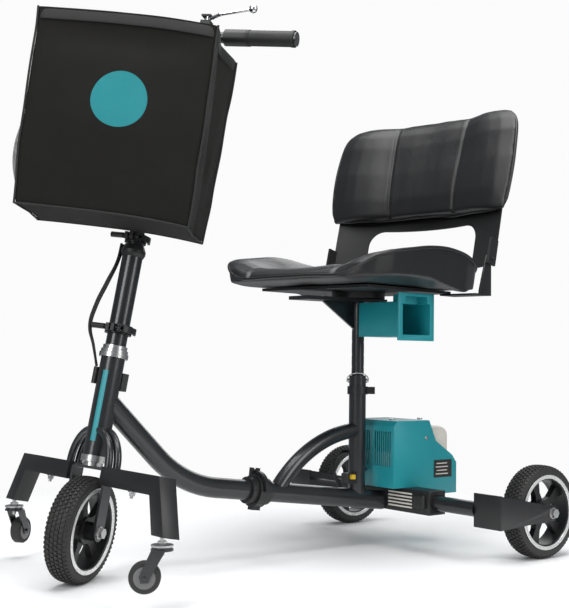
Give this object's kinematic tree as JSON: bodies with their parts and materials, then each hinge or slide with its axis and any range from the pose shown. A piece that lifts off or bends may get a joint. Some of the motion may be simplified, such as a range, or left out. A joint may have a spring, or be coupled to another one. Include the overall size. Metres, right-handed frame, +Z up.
{
  "type": "seated travel scooter",
  "caption": "Seated three-wheeled travel scooter with outrigger casters, telescopic steering column, front bag and swivelling seat with folding backrest",
  "frame": {"origin": "middle of the bounding box on the floor", "axes": "+X is forward, toward the steered wheel; +Y is the rider's left; +Z is up"},
  "size_m": [1.1666, 0.714, 1.1143],
  "materials": {
    "frame_paint": "satin graphite powder coat",
    "arm_paint": "satin black powder coat",
    "steel": "bright zinc-plated steel",
    "alloy": "polished aluminium",
    "tyre": "black rubber tread",
    "rim": "black gloss with machined rings",
    "teal": "moulded plastic, fine texture",
    "battery": "off-white moulded plastic",
    "black_plastic": "black moulded plastic",
    "grip": "soft black grip",
    "cable": "black cable jacket",
    "bag": "black woven polyester",
    "vinyl": "black stitched vinyl",
    "caster": "black tread on a pale hub"
  },
  "bodies": {
    "frame": {"head_tube": "frame_paint", "headset_cups": "steel", "stays": "frame_paint", "outriggers": "arm_paint", "outrigger_bolts": "steel", "caster_stems": "steel", "main_tube_front": "frame_paint", "coupling_sleeves": "arm_paint", "coupling_clamp": "arm_paint", "main_tube_rear": "frame_paint", "brace_tube": "frame_paint", "seat_tube": "frame_paint", "seat_clamp": "arm_paint", "cross_box": "arm_paint", "side_arms": "frame_paint", "wheel_brackets": "arm_paint", "rear_axles": "steel", "pack_base": "black_plastic", "pack_shell": "teal", "pack_battery": "battery", "wiring": "cable", "cable_fittings": "black_plastic"},
    "steering": {"fork": "frame_paint", "steering_tube": "frame_paint", "headset_races": "steel", "front_axle": "steel", "tube_clamps": "arm_paint", "collar": "black_plastic", "control_cables": "cable"},
    "column": {"inner_post": "frame_paint", "handlebar": "frame_paint", "grip_left": "grip", "grip_right": "grip", "brake_mount": "black_plastic", "bag_bracket": "arm_paint", "bag": "bag"},
    "throttle": {"throttle": "black_plastic"},
    "brake_lever": {"brake_lever": "alloy"},
    "front_wheel": {"front_tyre": "tyre", "front_rim": "rim"},
    "rear_left_wheel": {"rear_left_tyre": "tyre", "rear_left_rim": "rim"},
    "rear_right_wheel": {"rear_right_tyre": "tyre", "rear_right_rim": "rim"},
    "caster_left_fork": {"caster_left_fork": "frame_paint"},
    "caster_left_wheel": {"caster_left_wheel": "caster"},
    "caster_right_fork": {"caster_right_fork": "frame_paint"},
    "caster_right_wheel": {"caster_right_wheel": "caster"},
    "lower_lever": {"lower_lever": "arm_paint"},
    "upper_lever": {"upper_lever": "arm_paint"},
    "coupling_lever": {"coupling_lever": "arm_paint"},
    "bail": {"seat_pin": "steel"},
    "seat_post": {"seat_post": "frame_paint", "holder": "teal"},
    "seat": {"seat_shell": "black_plastic", "seat_pad": "vinyl", "hinge_plates": "arm_paint"},
    "backrest": {"backrest_shell": "black_plastic", "backrest_pad": "vinyl"}
  },
  "joints": [
    {"name": "steering_turn", "type": "hinge", "parent": "frame", "child": "steering", "pos_m": [0.462, 0, 0.10113], "axis": [-0.1908, 0, 0.9816], "range_deg": [-78, 12]},
    {"name": "column_height", "type": "slide", "parent": "steering", "child": "column", "axis": [-0.1908, 0, 0.9816], "range_m": [0, 0.1]},
    {"name": "front_wheel_spin", "type": "hinge", "parent": "steering", "child": "front_wheel", "pos_m": [0.45788, -0.00272, 0.10033], "axis": [-0.5346, 0.8387, -0.1039], "continuous": true},
    {"name": "lower_lever_open", "type": "hinge", "parent": "steering", "child": "lower_lever", "pos_m": [0.40715, 0.03114, 0.47106], "axis": [-0.1908, 0, 0.9816], "range_deg": [-100, 0]},
    {"name": "upper_lever_open", "type": "hinge", "parent": "steering", "child": "upper_lever", "pos_m": [0.36846, 0.02845, 0.64833], "axis": [-0.1908, 0, 0.9816], "range_deg": [-100, 0]},
    {"name": "brake_lever_squeeze", "type": "hinge", "parent": "column", "child": "brake_lever", "pos_m": [0.25237, 0.08897, 1.08928], "axis": [-0.1908, 0, 0.9816], "range_deg": [0, 12], "stiffness_Nm_per_rad": 2},
    {"name": "throttle_twist", "type": "hinge", "parent": "column", "child": "throttle", "pos_m": [0.16655, 0.16773, 1.05019], "axis": [-0.5346, 0.8387, -0.1039], "range_deg": [0, 60], "stiffness_Nm_per_rad": 0.2},
    {"name": "rear_left_wheel_spin", "type": "hinge", "parent": "frame", "child": "rear_left_wheel", "pos_m": [-0.483, 0.31, 0.1], "axis": [0, 1, 0], "continuous": true},
    {"name": "rear_right_wheel_spin", "type": "hinge", "parent": "frame", "child": "rear_right_wheel", "pos_m": [-0.483, -0.31, 0.1], "axis": [0, 1, 0], "continuous": true},
    {"name": "caster_left_swivel", "type": "hinge", "parent": "frame", "child": "caster_left_fork", "pos_m": [0.463, 0.29, 0.104], "axis": [0, 0, 1], "continuous": true},
    {"name": "caster_left_spin", "type": "hinge", "parent": "caster_left_fork", "child": "caster_left_wheel", "pos_m": [0.48594, 0.27394, 0.06], "axis": [0.5736, 0.8192, 0], "continuous": true},
    {"name": "caster_right_swivel", "type": "hinge", "parent": "frame", "child": "caster_right_fork", "pos_m": [0.463, -0.29, 0.104], "axis": [0, 0, 1], "continuous": true},
    {"name": "caster_right_spin", "type": "hinge", "parent": "caster_right_fork", "child": "caster_right_wheel", "pos_m": [0.44006, -0.30606, 0.06], "axis": [0.5736, -0.8192, 0], "continuous": true},
    {"name": "coupling_lever_open", "type": "hinge", "parent": "frame", "child": "coupling_lever", "pos_m": [0.04964, -0.0115, 0.18592], "axis": [-0.9925, 0, -0.1219], "range_deg": [-100, 0]},
    {"name": "bail_swing", "type": "hinge", "parent": "frame", "child": "bail", "pos_m": [-0.229, 0, 0.377], "axis": [0.766, -0.6428, 0], "range_deg": [-55, 0]},
    {"name": "seat_height", "type": "slide", "parent": "frame", "child": "seat_post", "axis": [0, 0, 1], "range_m": [0, 0.08]},
    {"name": "seat_swivel", "type": "hinge", "parent": "seat_post", "child": "seat", "pos_m": [-0.229, 0, 0.582], "axis": [0, 0, 1], "continuous": true},
    {"name": "backrest_fold", "type": "hinge", "parent": "seat", "child": "backrest", "pos_m": [-0.41119, -0.03213, 0.656], "axis": [-0.1736, 0.9848, 0], "range_deg": [0, 42]}
  ]
}
